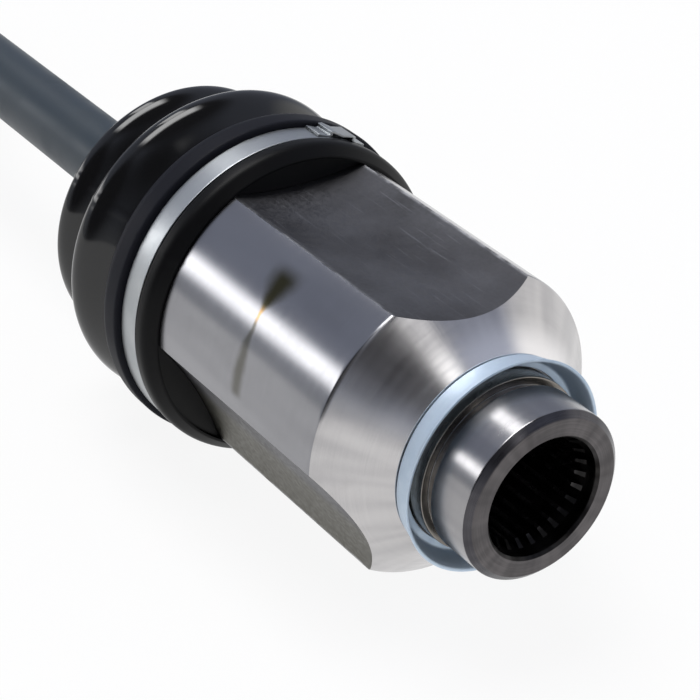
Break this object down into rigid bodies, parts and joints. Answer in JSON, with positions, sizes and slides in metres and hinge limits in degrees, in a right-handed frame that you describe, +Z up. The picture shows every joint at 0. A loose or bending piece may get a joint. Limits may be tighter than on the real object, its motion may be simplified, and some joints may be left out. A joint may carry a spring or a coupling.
{
  "type": "cv axle",
  "caption": "Drive axle with a plunging tripod joint and splined female stub, a painted bar between ribbed rubber boots, and a ball joint with a splined stub axle.",
  "frame": {"origin": "middle of the axle's box, on its axis", "axes": "+X along the axle towards the splined female stub, +Z up through the housing's top flat"},
  "size_m": [0.5296, 0.0904, 0.0904],
  "materials": {
    "ground_steel": "ground",
    "machined_steel": "turned",
    "spring_steel": "blued",
    "zinc_plate": "zinc plated",
    "bar_paint": "satin paint",
    "boot_rubber": "gloss moulded",
    "bush_rubber": "satin moulded"
  },
  "bodies": {
    "housing": {"inboard_housing": "ground_steel", "dust_shield": "zinc_plate", "grease_cap": "machined_steel", "trilobe_bush": "bush_rubber", "inboard_large_clamp": "zinc_plate"},
    "plunging_boot": {"inboard_boot": "boot_rubber"},
    "bar": {"axle_shaft": "bar_paint", "tripod_spider": "machined_steel", "spider_ring": "spring_steel", "roller_clip_1": "spring_steel", "roller_clip_2": "spring_steel", "roller_clip_3": "spring_steel", "inboard_small_clamp": "zinc_plate", "outboard_small_clamp": "zinc_plate", "inner_race": "machined_steel", "race_ring": "spring_steel"},
    "tripod_roller_1": {"roller_1": "ground_steel", "needle_ring_1": "machined_steel"},
    "tripod_roller_2": {"roller_2": "ground_steel", "needle_ring_2": "machined_steel"},
    "tripod_roller_3": {"roller_3": "ground_steel", "needle_ring_3": "machined_steel"},
    "cage": {"ball_cage": "machined_steel", "ball_1": "ground_steel", "ball_2": "ground_steel", "ball_3": "ground_steel", "ball_4": "ground_steel", "ball_5": "ground_steel", "ball_6": "ground_steel", "outboard_boot": "boot_rubber"},
    "bell": {"outboard_bell": "machined_steel", "outboard_large_clamp": "zinc_plate"}
  },
  "joints": [
    {"name": "plunge", "type": "slide", "parent": "housing", "child": "plunging_boot", "axis": [1, 0, 0], "range_m": [-0.014, 0.008], "deforming": ["inboard_boot"]},
    {"name": "inboard_bend", "type": "hinge", "parent": "plunging_boot", "child": "bar", "pos_m": [0.18475, 0, 0], "axis": [0, 1, 0], "range_deg": [-18, 18], "deforming": ["inboard_boot"]},
    {"name": "roller_1_spin", "type": "hinge", "parent": "bar", "child": "tripod_roller_1", "pos_m": [0.18475, 0.02053, 0.01185], "axis": [0, 0.866, 0.5], "range_deg": [-58, 34]},
    {"name": "roller_2_spin", "type": "hinge", "parent": "bar", "child": "tripod_roller_2", "pos_m": [0.18475, -0.02053, 0.01185], "axis": [0, -0.866, 0.5], "range_deg": [-58, 34]},
    {"name": "roller_3_spin", "type": "hinge", "parent": "bar", "child": "tripod_roller_3", "pos_m": [0.18475, 0, -0.0237], "axis": [0, 0, -1], "range_deg": [-58, 34]},
    {"name": "cage_bend", "type": "hinge", "parent": "bar", "child": "cage", "pos_m": [-0.14525, 0, 0], "axis": [0, 1, 0], "range_deg": [-20, 20], "deforming": ["outboard_boot"]},
    {"name": "outboard_bend", "type": "hinge", "parent": "cage", "child": "bell", "pos_m": [-0.14525, 0, 0], "axis": [0, 1, 0], "range_deg": [-20, 20], "deforming": ["outboard_boot"]}
  ],
  "couplings": [
    {"joint": "roller_1_spin", "follows": "plunge", "rad_per_m": 68.26},
    {"joint": "roller_2_spin", "follows": "plunge", "rad_per_m": 68.26},
    {"joint": "roller_3_spin", "follows": "plunge", "rad_per_m": 68.26},
    {"joint": "cage_bend", "follows": "outboard_bend", "ratio": 1}
  ]
}
